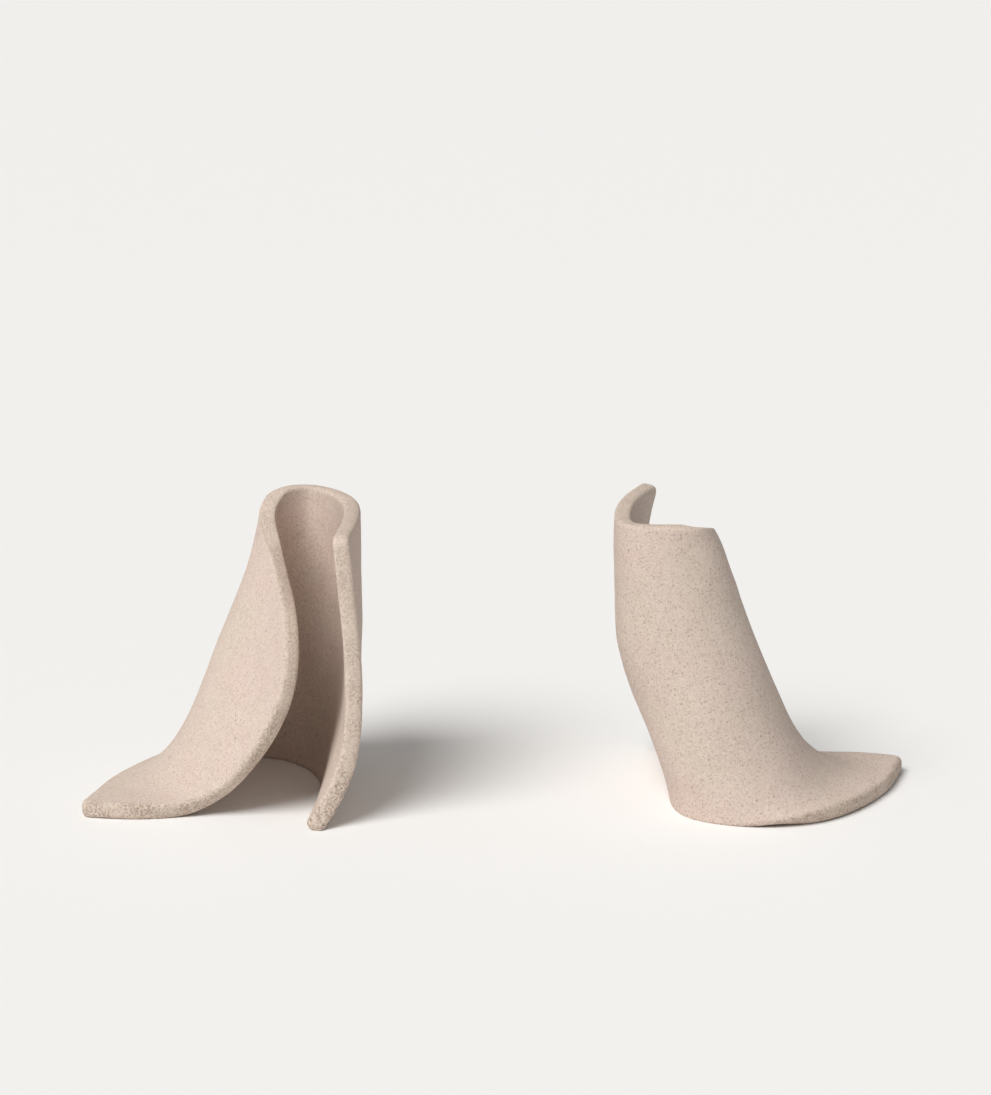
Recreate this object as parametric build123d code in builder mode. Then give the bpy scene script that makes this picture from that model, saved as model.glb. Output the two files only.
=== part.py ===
"""A pair of hand-built stoneware book ends.

Each book end is one slab of clay rolled into a leaning, open fold.  One side of the fold stands
upright against the books.  The other side leans away from them and flares out along the shelf
into a flat tongue.  The second book end is the same design turned about the vertical, so that
the pair closes both ends of a row of books.

Millimetres, +Z up.  The origin is on the shelf, in the middle of the pair.  +X runs along the
row of books, and -Y is the side from which the spines are read.
"""
import os

from build123d import *

# driving dimensions
WALL = 8.5          # thickness of the rolled slab
LEFT_X = -69.0      # where the left book end's upright side meets the books
LEFT_Y = -58.0
RIGHT_X = 70.0      # the right book end's own zero point, at its far end from the reader
RIGHT_Y = 62.0
ASKEW = 7.5         # the right book end stands a little askew of the half turn, in degrees

# Courses of each slab's middle surface, from the shelf up to the rim, in its own frame: x = 0 is
# the side against the books, the tongue points to -x, and the fold closes towards +y.  Each
# course runs from the open edge by the books, round the fold, to the other open edge.
LEFT = [
    # just under the shelf line by the books, and the outer edge of the tongue
    [(-25, -12, 0), (-21, 36, -2), (-22, 73, -2), (-36, 102, -2), (-62, 116, -1),
     (-99, 103, 3), (-130, 57, 4), (-137, 35, 4), (-144, 11, 4)],
    # the top of the tail, and the flat of the tongue
    [(-18, -8, 10), (-17, 37, 11), (-19, 76, 12), (-31, 103, 12), (-59, 116, 12),
     (-93, 101, 10), (-115, 56, 7), (-118, 31, 5), (-116, 7, 4)],
    # where the leaning side begins to flare out
    [(-10, -4, 24), (-13, 39, 27), (-15, 79, 29), (-27, 102, 28), (-55, 115, 26),
     (-86, 99, 24), (-98, 56, 19), (-95, 31, 12), (-86, 11, 5)],
    # the sides
    [(-4, 0, 52), (-7, 42, 55), (-11, 79, 57), (-22, 102, 56), (-48, 113, 55),
     (-74, 98, 53), (-79, 58, 50), (-63, 28, 43), (-50, 8, 37)],
    [(-4, 0, 86), (-6, 42, 86), (-7, 77, 87), (-16, 101, 87), (-40, 111, 87),
     (-64, 97, 84), (-66, 64, 80), (-47, 32, 78), (-35, 10, 77)],
    [(-6, 0, 112), (-6, 40, 112), (-7, 76, 112), (-14, 98, 112), (-35, 109, 112),
     (-55, 96, 110), (-57, 69, 108), (-46, 49, 106), (-37, 32, 104)],
    [(-8, -1, 132), (-6, 38, 132), (-7, 74, 132), (-14, 96, 132), (-31, 108, 132),
     (-48, 98, 131), (-53, 83, 130), (-50, 69, 128), (-44, 56, 124)],
    # the rim
    [(-10, -2, 149), (-6, 36, 150), (-7, 72, 149), (-14, 95, 149), (-29, 109, 150),
     (-43, 103, 150), (-49, 93, 146), (-51, 84, 143), (-51, 75, 140)],
]

# The right one is the same design rolled by hand again, so its points lie a little elsewhere.
RIGHT = [
    [(-25, -12, 0), (-29, 36, -2), (-32, 73, -2), (-39, 98, -2), (-62, 111, -1),
     (-103, 108, 3), (-135, 62, 4), (-142, 37, 4), (-146, 11, 4)],
    [(-18, -8, 10), (-23, 37, 11), (-29, 75, 12), (-36, 98, 12), (-59, 111, 12),
     (-94, 102, 10), (-117, 57, 7), (-120, 32, 5), (-118, 7, 4)],
    [(-10, -4, 24), (-17, 39, 27), (-24, 77, 29), (-31, 98, 28), (-55, 110, 26),
     (-86, 98, 24), (-98, 56, 19), (-96, 31, 12), (-88, 11, 5)],
    [(-4, 0, 52), (-7, 42, 55), (-13, 78, 57), (-23, 98, 56), (-47, 109, 55),
     (-72, 97, 53), (-78, 58, 50), (-63, 28, 43), (-50, 8, 37)],
    [(-4, 0, 86), (-4, 42, 86), (-4, 77, 87), (-13, 98, 87), (-38, 107, 87),
     (-62, 96, 84), (-65, 64, 80), (-47, 32, 78), (-35, 10, 77)],
    [(-4, 0, 112), (-3, 40, 112), (-3, 77, 112), (-10, 98, 112), (-32, 106, 113),
     (-53, 96, 111), (-56, 69, 108), (-46, 49, 106), (-37, 32, 104)],
    [(-6, -1, 132), (-2, 38, 132), (-2, 76, 132), (-9, 99, 133), (-29, 105, 134),
     (-47, 98, 132), (-51, 83, 130), (-49, 69, 128), (-44, 56, 124)],
    [(-10, -2, 149), (-2, 36, 150), (-2, 75, 150), (-9, 99, 151), (-28, 105, 152),
     (-39, 102, 151), (-44, 94, 148), (-45, 85, 145), (-45, 75, 140)],
]


def middle_surface(courses):
    """The smooth surface half-way through the clay."""
    wires = []
    for course in courses:
        with BuildLine() as line:
            Spline(*course)
        wires.append(line.wire())
    return Shell.make_loft(wires).faces()[0]


def outer_skin(courses):
    """The outer face of the slab: the middle surface moved out by half the thickness."""
    with BuildPart() as half:
        thicken(middle_surface(courses), amount=WALL / 2)
    return half.faces().sort_by(SortBy.AREA)[-1]


def book_end(courses):
    """One book end in its own frame, rubbed flat underneath."""
    with BuildPart() as clay:
        thicken(outer_skin(courses), amount=-WALL)
        split(bisect_by=Plane.XY, keep=Keep.TOP)
    return clay.part


os.makedirs("parts", exist_ok=True)

with BuildPart() as left_book_end:
    with Locations((LEFT_X, LEFT_Y)):
        add(book_end(LEFT))
left_book_end.part.label = "left_book_end"
export_step(left_book_end.part, "parts/left_book_end.step")

with BuildPart() as right_book_end:
    with Locations(Location((RIGHT_X, RIGHT_Y, 0), (0, 0, 180 - ASKEW))):
        add(book_end(RIGHT))
right_book_end.part.label = "right_book_end"
export_step(right_book_end.part, "parts/right_book_end.step")
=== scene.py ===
"""A pair of hand-built stoneware book ends on a pale studio floor.

Each book end is one rolled slab of speckled clay.  Its shape is a smooth surface through a few
courses of points, given the slab's thickness, soft edges and the small unevenness of hand work.
"""
import math

import bpy
import numpy as np
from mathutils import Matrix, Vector, noise


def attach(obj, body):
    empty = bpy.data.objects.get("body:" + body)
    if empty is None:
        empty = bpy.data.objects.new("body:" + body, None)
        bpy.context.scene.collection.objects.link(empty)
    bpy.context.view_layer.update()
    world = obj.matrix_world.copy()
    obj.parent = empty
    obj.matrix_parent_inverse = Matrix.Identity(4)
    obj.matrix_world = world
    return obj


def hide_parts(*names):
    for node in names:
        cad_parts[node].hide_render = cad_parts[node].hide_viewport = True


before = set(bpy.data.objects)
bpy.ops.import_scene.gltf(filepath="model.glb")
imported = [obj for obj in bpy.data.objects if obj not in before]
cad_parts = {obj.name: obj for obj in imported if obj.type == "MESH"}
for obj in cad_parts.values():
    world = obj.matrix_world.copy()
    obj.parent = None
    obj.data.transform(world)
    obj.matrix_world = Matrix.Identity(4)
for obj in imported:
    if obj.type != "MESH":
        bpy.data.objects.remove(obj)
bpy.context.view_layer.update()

scene = bpy.context.scene
MM = 0.001

# ---------------------------------------------------------------- camera
PITCH = 14.06                           # degrees below the horizon
LENS = 113.67                           # mm, on a sensor 36 mm wide
STAND = (-0.002, -1.711, 0.5577)        # m
optics = bpy.data.cameras.new("camera")
optics.lens = LENS
optics.sensor_width = 36.0
optics.clip_end = 50.0
camera = bpy.data.objects.new("camera", optics)
camera.location = STAND
camera.rotation_euler = (math.radians(90.0 - PITCH), 0.0, 0.0)
scene.collection.objects.link(camera)
scene.camera = camera
scene.view_settings.view_transform = "Standard"

# ---------------------------------------------------------------- the slab's shape
WALL = 8.5          # thickness, mm
LIP = 2.9           # how far in from an edge its softening reaches, mm
SQUARE = 3.0        # 2 is a half-round edge, more is squarer
TAIL_LIP = 2.6      # how much farther the softening reaches at the foot of the tail, mm
TAIL_EXTRA = 0.13   # how much thicker the clay is low down on the tail, as a share
BEND = 0.55         # how far the slab wanders from its true surface, mm
FRAY = 0.5          # how far its edges wander sideways, mm
UNEVEN = 0.05       # how much the clay's thickness varies, as a share
SOFT_DENTS = 0.16   # depth of the wide dents on its faces, mm
FINE_DENTS = 0.07   # depth of the small ones, mm
STEP = 1.25      # mesh spacing away from the edges, mm
NEAR = (0, 0.02, 0.12, 0.35, 0.8, 1.4, 2.2, 3.2, 4.4)   # mesh lines by each edge, mm in from it
BAND = 5.8          # where the even mesh spacing begins, mm in from an edge
FINE = 400          # points along each side of the grid that the mesh is read from

# Courses of each slab's middle surface, from the shelf up to the rim, in its own frame in mm:
# x = 0 is the side against the books, the tongue points to -x, and the fold closes towards +y.
# Each runs from the open edge by the books, round the fold, to the other open edge.
LEFT = [
    # just under the shelf line by the books, and the outer edge of the tongue
    [(-25, -12, 0), (-21, 36, -2), (-22, 73, -2), (-36, 102, -2), (-62, 116, -1),
     (-99, 103, 3), (-130, 57, 4), (-137, 35, 4), (-144, 11, 4)],
    # the top of the tail, and the flat of the tongue
    [(-18, -8, 10), (-17, 37, 11), (-19, 76, 12), (-31, 103, 12), (-59, 116, 12),
     (-93, 101, 10), (-115, 56, 7), (-118, 31, 5), (-116, 7, 4)],
    # where the leaning side begins to flare out
    [(-10, -4, 24), (-13, 39, 27), (-15, 79, 29), (-27, 102, 28), (-55, 115, 26),
     (-86, 99, 24), (-98, 56, 19), (-95, 31, 12), (-86, 11, 5)],
    # the sides
    [(-4, 0, 52), (-7, 42, 55), (-11, 79, 57), (-22, 102, 56), (-48, 113, 55),
     (-74, 98, 53), (-79, 58, 50), (-63, 28, 43), (-50, 8, 37)],
    [(-4, 0, 86), (-6, 42, 86), (-7, 77, 87), (-16, 101, 87), (-40, 111, 87),
     (-64, 97, 84), (-66, 64, 80), (-47, 32, 78), (-35, 10, 77)],
    [(-6, 0, 112), (-6, 40, 112), (-7, 76, 112), (-14, 98, 112), (-35, 109, 112),
     (-55, 96, 110), (-57, 69, 108), (-46, 49, 106), (-37, 32, 104)],
    [(-8, -1, 132), (-6, 38, 132), (-7, 74, 132), (-14, 96, 132), (-31, 108, 132),
     (-48, 98, 131), (-53, 83, 130), (-50, 69, 128), (-44, 56, 124)],
    # the rim
    [(-10, -2, 149), (-6, 36, 150), (-7, 72, 149), (-14, 95, 149), (-29, 109, 150),
     (-43, 103, 150), (-49, 93, 146), (-51, 84, 143), (-51, 75, 140)],
]

RIGHT = [
    [(-25, -12, 0), (-29, 36, -2), (-32, 73, -2), (-39, 98, -2), (-62, 111, -1),
     (-103, 108, 3), (-135, 62, 4), (-142, 37, 4), (-146, 11, 4)],
    [(-18, -8, 10), (-23, 37, 11), (-29, 75, 12), (-36, 98, 12), (-59, 111, 12),
     (-94, 102, 10), (-117, 57, 7), (-120, 32, 5), (-118, 7, 4)],
    [(-10, -4, 24), (-17, 39, 27), (-24, 77, 29), (-31, 98, 28), (-55, 110, 26),
     (-86, 98, 24), (-98, 56, 19), (-96, 31, 12), (-88, 11, 5)],
    [(-4, 0, 52), (-7, 42, 55), (-13, 78, 57), (-23, 98, 56), (-47, 109, 55),
     (-72, 97, 53), (-78, 58, 50), (-63, 28, 43), (-50, 8, 37)],
    [(-4, 0, 86), (-4, 42, 86), (-4, 77, 87), (-13, 98, 87), (-38, 107, 87),
     (-62, 96, 84), (-65, 64, 80), (-47, 32, 78), (-35, 10, 77)],
    [(-4, 0, 112), (-3, 40, 112), (-3, 77, 112), (-10, 98, 112), (-32, 106, 113),
     (-53, 96, 111), (-56, 69, 108), (-46, 49, 106), (-37, 32, 104)],
    [(-6, -1, 132), (-2, 38, 132), (-2, 76, 132), (-9, 99, 133), (-29, 105, 134),
     (-47, 98, 132), (-51, 83, 130), (-49, 69, 128), (-44, 56, 124)],
    [(-10, -2, 149), (-2, 36, 150), (-2, 75, 150), (-9, 99, 151), (-28, 105, 152),
     (-39, 102, 151), (-44, 94, 148), (-45, 85, 145), (-45, 75, 140)],
]


def spline(xs, ys, at):
    """A natural cubic spline through ys at the knots xs, read at every place in at."""
    n, h = len(xs), np.diff(xs)
    a, rhs = np.eye(n), np.zeros_like(ys)
    for i in range(1, n - 1):
        a[i, i - 1:i + 2] = h[i - 1], 2 * (h[i - 1] + h[i]), h[i]
        rhs[i] = 6 * ((ys[i + 1] - ys[i]) / h[i] - (ys[i] - ys[i - 1]) / h[i - 1])
    m = np.tensordot(np.linalg.inv(a), rhs, 1)
    k = np.clip(np.searchsorted(xs, at) - 1, 0, n - 2)
    shape = (-1,) + (1,) * (ys.ndim - 1)
    w = h[k].reshape(shape)
    t = ((at - xs[k]) / h[k]).reshape(shape)
    u = 1 - t
    return (u * ys[k] + t * ys[k + 1]
            + w * w / 6 * ((u ** 3 - u) * m[k] + (t ** 3 - t) * m[k + 1]))


def knots(grid, axis):
    """Where the given points stand along one direction of the slab, from 0 to 1, on average."""
    steps = np.linalg.norm(np.diff(grid, axis=axis), axis=2)
    steps = steps / steps.sum(axis=axis, keepdims=True)
    return np.append(0, np.cumsum(steps.mean(axis=1 - axis)))


def lengths(surface):
    """The length along each row of a surface, from its first point."""
    steps = np.linalg.norm(np.diff(surface, axis=1), axis=2)
    return np.pad(np.cumsum(steps, axis=1), ((0, 0), (1, 0)))


def middle_surface(courses):
    """The slab's middle surface as a fine square grid, evenly spaced both ways, in mm."""
    grid = np.array(courses, float)
    even = np.linspace(0, 1, FINE)
    rows = spline(knots(grid, 1), grid.transpose(1, 0, 2), even).transpose(1, 0, 2)
    surface = spline(knots(grid, 0), rows, even)
    for _ in range(2):
        s = lengths(surface)
        surface = np.stack([
            np.stack([np.interp(even * length[-1], length, row[:, c]) for c in range(3)], 1)
            for length, row in zip(s, surface)])
        surface = surface.transpose(1, 0, 2)
    return surface


def read(surface, v, u):
    """A fine grid's values at rows v and columns u, both from 0 to 1, between its points."""
    n = len(surface) - 1
    i = np.clip((v * n).astype(int), 0, n - 1)
    j = np.clip((u * n).astype(int), 0, n - 1)
    a, b = (v * n - i)[..., None], (u * n - j)[..., None]
    return ((1 - a) * ((1 - b) * surface[i, j] + b * surface[i, j + 1])
            + a * ((1 - b) * surface[i + 1, j] + b * surface[i + 1, j + 1]))


def places(length):
    """Places from one edge to the other, 0 to 1: close together near both edges, even between."""
    near = np.array(NEAR)
    between = np.linspace(BAND, length - BAND, int((length - 2 * BAND) / STEP) + 2)
    return np.concatenate([near, between, length - near[::-1]]) / length


def places_like(nominal, usual, length):
    """The same pattern of places for a row of another length: fixed near its ends."""
    d = nominal * usual
    inner = (d - BAND) / (usual - 2 * BAND) * (length - 2 * BAND) + BAND
    d = np.where(d < BAND, d, np.where(d > usual - BAND, length - (usual - d), inner))
    return d / length


def soft_corner(a, b, length, height, corners):
    """Distances a and b from the slab's first edges, with its four corners drawn round."""
    a, b = a.copy(), b.copy()
    for far_a, far_b, r in corners:
        p = r - (length - a if far_a else a)
        q = r - (height - b if far_b else b)
        inside = (p > 0) & (q > 0)
        round_p = p * np.sqrt(1 - np.clip(q / r, 0, 1) ** 2 / 2)
        round_q = q * np.sqrt(1 - np.clip(p / r, 0, 1) ** 2 / 2)
        new_a, new_b = r - round_p, r - round_q
        a = np.where(inside, length - new_a if far_a else new_a, a)
        b = np.where(inside, height - new_b if far_b else new_b, b)
    return a, b


def edge_distance(a, b, length, height, corners):
    """Distance from the nearest edge of the slab, going round its soft corners."""
    d = np.minimum(np.minimum(a, length - a), np.minimum(b, height - b))
    for far_a, far_b, r in corners:
        p = r - (length - a if far_a else a)
        q = r - (height - b if far_b else b)
        inside = (p > 0) & (q > 0)
        d = np.where(inside, r - np.sqrt(p * p + q * q), d)
    return np.maximum(d, 0)


def wobble(points, size, seed):
    """Smooth seeded unevenness from -1 to 1 at each point, size mm across."""
    shift = Vector((seed * 17.3, seed * 5.1, seed * 9.7))
    values = [noise.noise(Vector(p) + shift) for p in points.reshape(-1, 3) / size]
    return np.array(values).reshape(points.shape[:-1])


def dents(points, seed):
    """The height of a face's soft dents at each point, mm."""
    return SOFT_DENTS * wobble(points, 13.0, seed) + FINE_DENTS * wobble(points, 5.0, seed + 3)


def fade(distance, reach, start=1.0):
    """From start at 0 down to 0 at start times reach, and never above 1."""
    return np.clip(start - distance / reach, 0, 1)


def slab_mesh(name, courses, corners, seed):
    """One book end as a mesh in its own frame, in metres, with its edges marked."""
    fine = middle_surface(courses)
    dv, du = np.gradient(fine, axis=(0, 1))
    normal = np.cross(dv, du)
    normal /= np.linalg.norm(normal, axis=2, keepdims=True)
    # outwards is +x on the side against the books
    if normal[FINE // 2, FINE // 10, 0] < 0:
        normal = -normal
    row_length = lengths(fine)[:, -1]
    column_length = lengths(fine.transpose(1, 0, 2))[:, -1]
    even = np.linspace(0, 1, len(fine))

    u0, v0 = places(row_length.mean()), places(column_length.mean())
    count_u, count_v = len(u0), len(v0)
    v, u = np.meshgrid(v0, u0, indexing="ij")
    for _ in range(2):
        length = np.interp(v, even, row_length)
        height = np.interp(u, even, column_length)
        u = np.stack([places_like(u0, row_length.mean(), x) for x in length[:, 0]])
        v = np.stack([places_like(v0, column_length.mean(), x) for x in height[0]], 1)
    length = np.interp(v, even, row_length)
    height = np.interp(u, even, column_length)
    a, b = soft_corner(u * length, v * height, length, height, corners)
    d = edge_distance(a, b, length, height, corners)
    v, u = np.clip(b / height, 0, 1), np.clip(a / length, 0, 1)
    centre, n = read(fine, v, u), read(normal, v, u)
    n /= np.linalg.norm(n, axis=2, keepdims=True)

    # the slab is not quite flat, its edges are not quite straight, its faces carry soft dents
    centre = centre + n * (BEND * wobble(centre, 55.0, seed))[..., None]
    near = fade(d, 14.0) ** 2
    centre = centre + (FRAY * near * wobble(centre, 16.0, seed + 3))[..., None] * sideways(centre, n)
    # the foot of the tail is rubbed round all over
    lip = LIP + TAIL_LIP * fade(b, 14.0) * fade(a, 26.0)
    t = np.clip(d / lip, 0, 1)
    half = WALL / 2 * (1 - (1 - t) ** SQUARE) ** (1 / SQUARE)
    half = half * (1 + UNEVEN * wobble(centre, 38.0, seed + 6))
    half = half * (1 + TAIL_EXTRA * fade(a, 30.0) * fade(b, 75.0, 1.2))
    outer = centre + n * (half + dents(centre, seed + 9) * t)[..., None]
    inner = centre - n * (half + dents(centre, seed + 15) * t)[..., None]

    size = count_u * count_v
    top = np.arange(size).reshape(count_v, count_u)
    under = top + size
    rim = np.zeros(top.shape, bool)
    rim[0], rim[-1], rim[:, 0], rim[:, -1] = True, True, True, True
    under = np.where(rim, top, under)
    verts = np.concatenate([outer.reshape(-1, 3), inner.reshape(-1, 3)])
    verts[:, 2] = np.maximum(verts[:, 2], 0)

    def quads(ids):
        return np.stack([ids[:-1, :-1], ids[:-1, 1:], ids[1:, 1:], ids[1:, :-1]], -1).reshape(-1, 4)

    faces = np.concatenate([quads(top), quads(under)[:, ::-1]])
    used = np.unique(faces)
    renumber = np.zeros(2 * size, int)
    renumber[used] = np.arange(len(used))
    mesh = bpy.data.meshes.new(name)
    mesh.from_pydata((verts[used] * MM).tolist(), [], renumber[faces].tolist())
    # where the cut edges and the foot of the tail are, for the clay's pits and gouges and the
    # painted highlight along the edges
    marks = {"edge": fade(d, 2.6, 1.25), "tail": fade(a, 14.0) * fade(b, 26.0, 1.5)}
    for title, share in marks.items():
        mark = mesh.attributes.new(title, "FLOAT", "POINT")
        mark.data.foreach_set("value", np.tile(share.ravel(), 2)[used].astype(np.float32))
    mesh.polygons.foreach_set("use_smooth", np.ones(len(mesh.polygons), bool))
    mesh.update()
    return mesh


def sideways(points, normal):
    """Unit vectors in the surface, across its upright direction."""
    side = np.cross(normal, np.broadcast_to([0.0, 0.0, 1.0], normal.shape))
    return side / np.maximum(np.linalg.norm(side, axis=2, keepdims=True), 0.2)


# The slab's corners: far end of the row?, top of the slab?, radius in mm.
SOFT = [(False, False, 5.5), (False, True, 6.0), (True, False, 6.0)]
LEFT_CORNERS = SOFT + [(True, True, 20.0)]
RIGHT_CORNERS = SOFT + [(True, True, 16.0)]


# ---------------------------------------------------------------- clay
CLAY = (0.660, 0.550, 0.470, 1)
PINKISH = (0.670, 0.538, 0.472, 1)
PALE_CLAY = (0.695, 0.590, 0.510, 1)
CUT_CLAY_AND_PAINTED_HIGHLIGHT = (0.745, 0.625, 0.520, 1)
FINE_GRAIN = (0.250, 0.185, 0.145, 1)
GRAIN = (0.190, 0.140, 0.110, 1)
DARK_GRAIN = (0.085, 0.065, 0.055, 1)
PIT_AND_PAINTED_SHADE = (0.310, 0.200, 0.130, 1)
GOUGE = (0.060, 0.045, 0.038, 1)
RAGGED = 0.0007         # how far a grain's outline wanders, m
BUMP_DEPTH = 0.0006     # m
BUMP_STRENGTH = 0.55
SHEEN = 0.25            # specular level of the matte clay


class Nodes:
    """A short way to write a material's nodes."""

    def __init__(self, material):
        material.use_nodes = True
        self.tree = material.node_tree
        self.tree.nodes.clear()

    def new(self, kind, **settings):
        node = self.tree.nodes.new(kind)
        for key, value in settings.items():
            setattr(node, key, value)
        return node

    def link(self, value, socket):
        if isinstance(value, bpy.types.NodeSocket):
            self.tree.links.new(value, socket)
        else:
            socket.default_value = value

    def math(self, operation, *values, clamp=False):
        node = self.new("ShaderNodeMath", operation=operation, use_clamp=clamp)
        for value, socket in zip(values, node.inputs):
            self.link(value, socket)
        return node.outputs[0]

    def step(self, value, low, high, to_low=0.0, to_high=1.0):
        node = self.new("ShaderNodeMapRange", interpolation_type="SMOOTHSTEP")
        for x, socket in zip((value, low, high, to_low, to_high), node.inputs):
            self.link(x, socket)
        return node.outputs[0]

    def mix(self, share, a, b, blend="MIX"):
        node = self.new("ShaderNodeMix", data_type="RGBA", blend_type=blend)
        self.link(share, node.inputs[0])
        for value, socket in zip((a, b), (node.inputs[6], node.inputs[7])):
            self.link(value, socket)
        return node.outputs[2]

    def noise(self, where, per_metre, detail=2.0, rough=0.5, output=0):
        node = self.new("ShaderNodeTexNoise")
        self.link(where, node.inputs["Vector"])
        node.inputs["Scale"].default_value = per_metre
        node.inputs["Detail"].default_value = detail
        node.inputs["Roughness"].default_value = rough
        return node.outputs[output]

    def cells(self, where, per_metre):
        """Distance to the nearest scattered point, and a colour that belongs to that point."""
        node = self.new("ShaderNodeTexVoronoi")
        self.link(where, node.inputs["Vector"])
        node.inputs["Scale"].default_value = per_metre
        return node.outputs["Distance"], node.outputs["Color"]

    def specks(self, where, per_metre, share, biggest, soft=0.06):
        """A mask of scattered grains: share of the cells hold one, of random size."""
        distance, colour = self.cells(where, per_metre)
        split = self.new("ShaderNodeSeparateColor")
        self.link(colour, split.inputs[0])
        radius = self.step(split.outputs[0], 1.0 - share, 1.0, 0.0, biggest)
        edge = self.math("SUBTRACT", radius, distance)
        return self.math("DIVIDE", edge, soft, clamp=True)


def stoneware(seed):
    """Matte speckled stoneware: warm beige clay, pinkish clouds, dark grains, pitted edges, with a
    painted highlight along the edges and painted shade on their lower parts.
    """
    material = bpy.data.materials.new(f"speckled_stoneware_{seed}")
    n = Nodes(material)
    out = n.new("ShaderNodeOutputMaterial")
    shader = n.new("ShaderNodeBsdfPrincipled")
    n.link(shader.outputs[0], out.inputs["Surface"])
    place = n.new("ShaderNodeTexCoord").outputs["Object"]
    shifted = n.new("ShaderNodeVectorMath", operation="ADD")
    n.link(place, shifted.inputs[0])
    shifted.inputs[1].default_value = (seed * 0.37, seed * 0.21, seed * 0.11)
    where = shifted.outputs[0]
    edge = n.new("ShaderNodeAttribute", attribute_name="edge").outputs["Fac"]
    tail = n.new("ShaderNodeAttribute", attribute_name="tail").outputs["Fac"]

    # the grains' outlines are ragged, because the place they are read at wanders a little
    wander = n.new("ShaderNodeVectorMath", operation="MULTIPLY_ADD")
    n.link(n.noise(where, 900.0, 1.0, output=1), wander.inputs[0])
    wander.inputs[1].default_value = (RAGGED, RAGGED, RAGGED)
    n.link(where, wander.inputs[2])
    ragged = wander.outputs[0]

    clouds = n.step(n.noise(where, 26.0, 3.0), 0.38, 0.62)
    patches = n.step(n.noise(where, 110.0, 3.0, 0.6), 0.35, 0.68)
    sand = n.noise(where, 850.0, 4.0, 0.75)
    colour = n.mix(clouds, CLAY, PINKISH)
    colour = n.mix(n.math("MULTIPLY", patches, 0.5), colour, PALE_CLAY)
    # the edges are painted paler: partly the paler cut clay, partly a painted highlight along their
    # bevels
    colour = n.mix(n.math("MULTIPLY", edge, 0.55), colour, CUT_CLAY_AND_PAINTED_HIGHLIGHT)
    tone = n.step(sand, 0.34, 0.64, 0.87, 1.06)
    grey = n.new("ShaderNodeCombineColor")
    for socket in grey.inputs[:3]:
        n.link(tone, socket)
    colour = n.mix(1.0, colour, grey.outputs[0], "MULTIPLY")

    # three sizes of grain, the second slab speckled more strongly than the first
    fine = n.specks(ragged, 820.0, 0.92, 0.50, 0.22)
    middling = n.specks(ragged, 460.0, 0.80, 0.27, 0.12)
    coarse = n.specks(ragged, 190.0, 0.30, 0.15, 0.05)
    colour = n.mix(n.math("MULTIPLY", fine, 0.18 + 0.12 * seed), colour, FINE_GRAIN)
    colour = n.mix(n.math("MULTIPLY", middling, 0.12 + 0.16 * seed), colour, GRAIN)
    colour = n.mix(n.math("MULTIPLY", coarse, 0.25 + 0.14 * seed), colour, DARK_GRAIN)

    # grog torn out of the cut edges leaves brown pits; making them denser low down paints shade on
    # the lower edges
    split = n.new("ShaderNodeSeparateXYZ")
    n.link(place, split.inputs[0])
    # painted shade: the pits are stronger below 80 mm, darkening the lower edges
    low = n.step(split.outputs[2], 0.025, 0.080, 1.0, 0.45)
    pits_and_painted_shade = n.step(n.noise(where, 900.0, 3.0, 0.65), 0.49, 0.58)
    worn = n.step(n.noise(where, 70.0, 2.0), 0.36, 0.58, 0.30, 1.0)
    pits_and_painted_shade = n.math("MULTIPLY", n.math("MULTIPLY", pits_and_painted_shade, low), n.math("MULTIPLY", edge, worn))
    colour = n.mix(n.math("MULTIPLY", pits_and_painted_shade, 0.58), colour, PIT_AND_PAINTED_SHADE)
    gouges = n.step(n.noise(where, 420.0, 2.0, 0.6), 0.60, 0.64)
    gouges = n.math("MULTIPLY", gouges, n.math("MULTIPLY", edge, tail))
    colour = n.mix(n.math("MULTIPLY", gouges, 0.65), colour, GOUGE)
    n.link(colour, shader.inputs["Base Color"])
    n.link(n.step(sand, 0.3, 0.7, 0.80, 0.95), shader.inputs["Roughness"])
    shader.inputs["Specular IOR Level"].default_value = SHEEN

    # relief: sand and soft waves, with the larger grains, pits and gouges sunk in
    height = n.math("MULTIPLY", sand, 0.45)
    height = n.math("ADD", height, n.math("MULTIPLY", n.noise(where, 260.0, 3.0), 0.45))
    height = n.math("SUBTRACT", height, n.math("MULTIPLY", middling, 0.35))
    height = n.math("SUBTRACT", height, n.math("MULTIPLY", pits_and_painted_shade, 1.1))
    height = n.math("SUBTRACT", height, n.math("MULTIPLY", gouges, 1.5))
    bump = n.new("ShaderNodeBump")
    bump.inputs["Strength"].default_value = BUMP_STRENGTH
    bump.inputs["Distance"].default_value = BUMP_DEPTH
    n.link(height, bump.inputs["Height"])
    n.link(bump.outputs[0], shader.inputs["Normal"])
    return material


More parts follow.
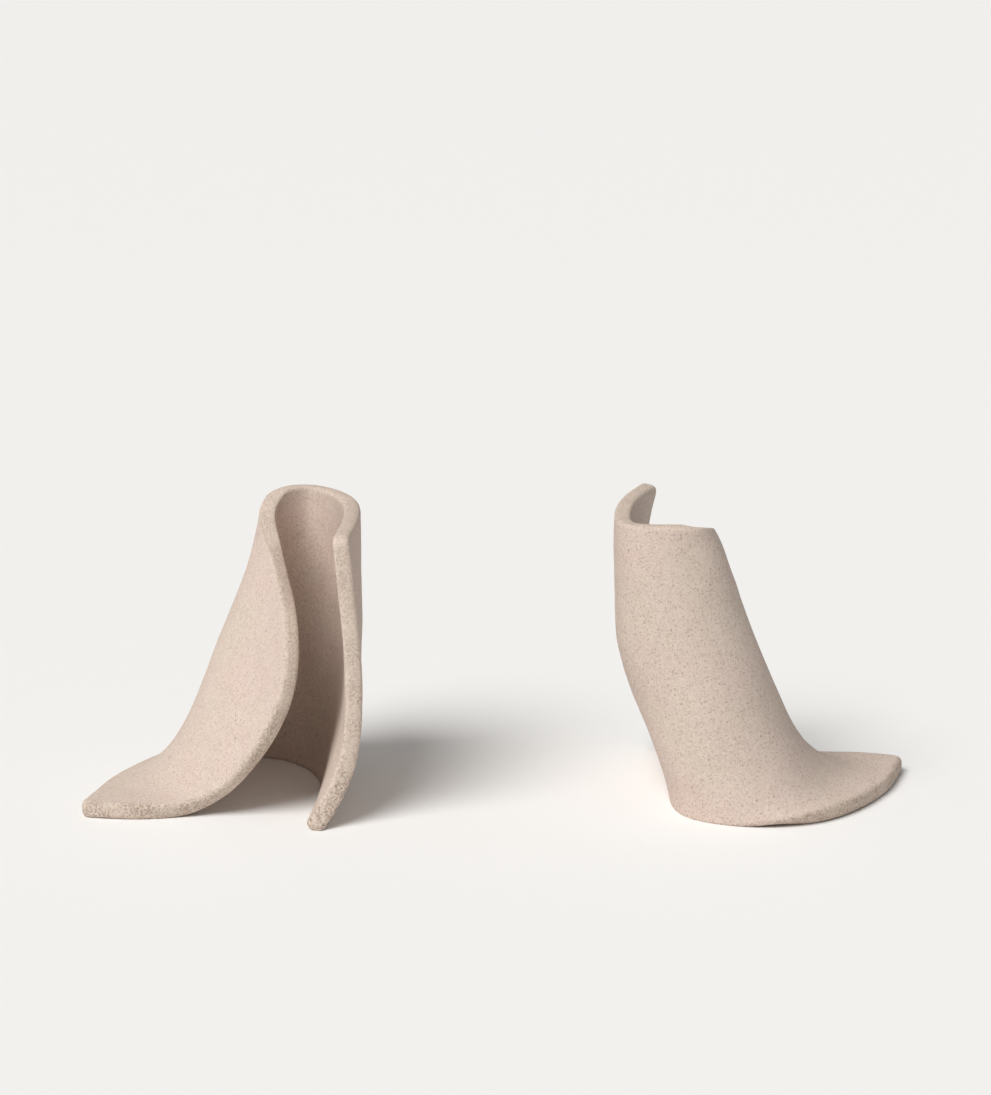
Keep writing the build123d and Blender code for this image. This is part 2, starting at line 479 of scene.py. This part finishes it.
# ---------------------------------------------------------------- the two book ends
def book_end(name, node, body, place, turn, courses, corners, seed):
    """A book end's clay, set down at place in mm and turned, in place of its CAD node."""
    mesh = slab_mesh(name, courses, corners, seed)
    c, s = math.cos(turn), math.sin(turn)
    xyz = np.empty(len(mesh.vertices) * 3)
    mesh.vertices.foreach_get("co", xyz)
    x, y, z = xyz.reshape(-1, 3).T
    moved = np.stack([place[0] * MM + c * x - s * y, place[1] * MM + s * x + c * y, z], 1)
    mesh.vertices.foreach_set("co", moved.ravel())
    mesh.update()
    mesh.materials.append(stoneware(seed))
    piece = bpy.data.objects.new(name, mesh)
    scene.collection.objects.link(piece)
    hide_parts(node)
    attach(piece, body)
    return piece


LEFT_PLACE = (-69, -58)                 # mm
RIGHT_PLACE = (70, 62)
RIGHT_TURN = math.radians(172.5)        # turned round, and 7.5 degrees askew
book_end("left_clay", "left_book_end", "left", LEFT_PLACE, 0.0, LEFT, LEFT_CORNERS, 1)
book_end("right_clay", "right_book_end", "right", RIGHT_PLACE, RIGHT_TURN, RIGHT, RIGHT_CORNERS, 2)

# ---------------------------------------------------------------- floor and light
floor_mesh = bpy.data.meshes.new("floor")
floor_mesh.from_pydata([(-12, -6, 0), (12, -6, 0), (12, 18, 0), (-12, 18, 0)], [], [(0, 1, 2, 3)])
floor = bpy.data.objects.new("floor", floor_mesh)
scene.collection.objects.link(floor)
paper = bpy.data.materials.new("floor_paper")
paper.use_nodes = True
paper_shader = paper.node_tree.nodes["Principled BSDF"]
paper_shader.inputs["Base Color"].default_value = (0.93, 0.93, 0.92, 1)
paper_shader.inputs["Roughness"].default_value = 0.9
paper_shader.inputs["Specular IOR Level"].default_value = 0.1
floor_mesh.materials.append(paper)

world = bpy.data.worlds.new("studio")
world.use_nodes = True
sky = world.node_tree.nodes["Background"]
sky.inputs["Color"].default_value = (1.0, 0.995, 0.985, 1)
sky.inputs["Strength"].default_value = 0.28
scene.world = world


def sun(name, towards, strength, spread, colour):
    """A far soft light that shines from the given direction."""
    light = bpy.data.lights.new(name, "SUN")
    light.energy = strength
    light.angle = math.radians(spread)
    light.color = colour
    lamp = bpy.data.objects.new(name, light)
    lamp.rotation_euler = Vector(towards).to_track_quat("Z", "Y").to_euler()
    scene.collection.objects.link(lamp)


# from the upper left, a little in front
sun("key", (-0.415, -0.461, 0.784), strength=2.72, spread=35.0, colour=(1.0, 0.985, 0.97))
